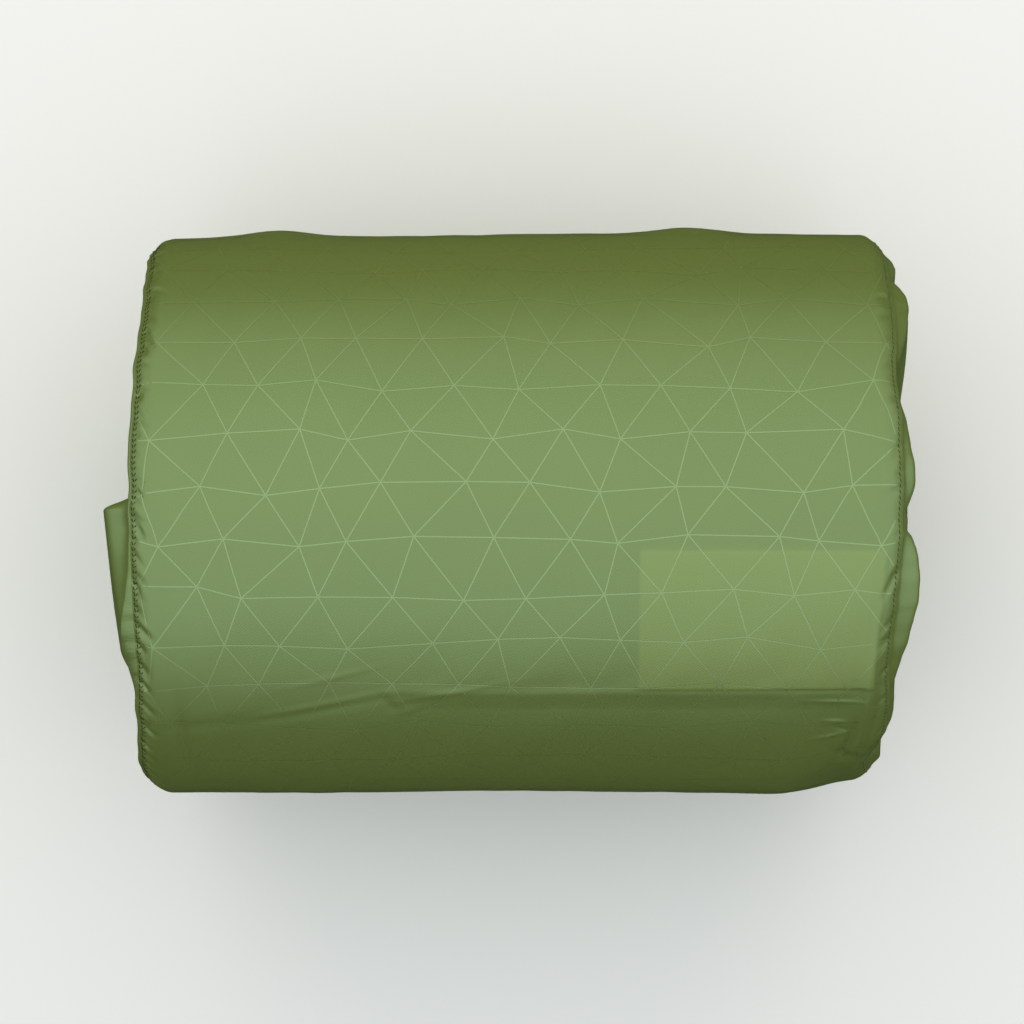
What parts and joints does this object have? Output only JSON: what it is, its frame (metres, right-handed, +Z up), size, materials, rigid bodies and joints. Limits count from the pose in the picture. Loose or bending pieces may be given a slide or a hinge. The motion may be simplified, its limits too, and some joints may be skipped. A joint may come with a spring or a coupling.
{
  "type": "packed sleeping pad",
  "caption": "Self-inflating sleeping pad folded, rolled and packed in a drawcord stuff sack, lying on its side.",
  "frame": {"origin": "on the resting face, under the middle of the object's length and width", "axes": "+X along the roll towards the sack's mouth, +Z up, +Y across the roll"},
  "size_m": [0.32, 0.223, 0.198],
  "materials": {
    "sack_shell": "thin coated nylon, glossy",
    "sack_thread": "matte thread",
    "sack_thread_pale": "matte thread",
    "sack_tape": "matte tape",
    "cord": "braided cord",
    "eyelet_metal": "dull grey plate",
    "lock_plastic": "moulded, fine matte",
    "spring_steel": "bright wire",
    "pad_under": "coated polyester, matte",
    "pad_foam": "open-cell foam",
    "pad_top": "brushed polyester",
    "valve_plastic": "moulded, satin",
    "valve_flap": "silicone",
    "pouch_film": "clear film",
    "patch": "adhesive-backed fabric",
    "wipe_foil": "foil sachet",
    "card": "plain uncoated card"
  },
  "bodies": {
    "packed_roll": {"sack_wall": "sack_shell", "sack_base": "sack_shell", "sack_collar": "sack_shell", "base_seam_thread": "sack_thread", "collar_seam_thread": "sack_thread_pale", "base_seam_binding": "sack_tape", "collar_seam_binding": "sack_tape", "wall_seam_allowance": "sack_tape", "drawcord": "cord", "cord_knot": "cord", "cord_eyelet": "eyelet_metal", "pad_lower_sheet": "pad_under", "pad_foam_core": "pad_foam", "pad_upper_sheet": "pad_top", "inflation_valve_body": "valve_plastic", "inflation_valve_flap": "valve_flap", "deflation_valve_body": "valve_plastic", "repair_pouch": "pouch_film", "repair_patch_sheet": "patch", "cleaning_wipe": "wipe_foil", "care_card": "card"},
    "cord_lock": {"cord_lock_barrel": "lock_plastic", "cord_lock_spring": "spring_steel"},
    "cord_lock_plunger": {"cord_lock_button": "lock_plastic"},
    "inflation_cap": {"inflation_valve_cap": "valve_plastic"},
    "deflation_cap": {"deflation_valve_cap": "valve_plastic"}
  },
  "joints": [
    {"name": "cord_lock_slide", "type": "slide", "parent": "packed_roll", "child": "cord_lock", "axis": [0, 0, 1], "range_m": [-0.018, 0]},
    {"name": "cord_lock_press", "type": "slide", "parent": "cord_lock", "child": "cord_lock_plunger", "axis": [0, 1, 0], "range_m": [-0.0035, 0], "stiffness_N_per_m": 800, "springref_m": 0.002, "deforming": ["cord_lock_spring"]},
    {"name": "inflation_cap_turn", "type": "hinge", "parent": "packed_roll", "child": "inflation_cap", "pos_m": [0.06621, 0.105, 0.097], "axis": [0, 1, 0], "range_deg": [0, 90]},
    {"name": "deflation_cap_turn", "type": "hinge", "parent": "packed_roll", "child": "deflation_cap", "pos_m": [-0.09578, 0.105, 0.097], "axis": [0, 1, 0], "range_deg": [0, 90]}
  ]
}
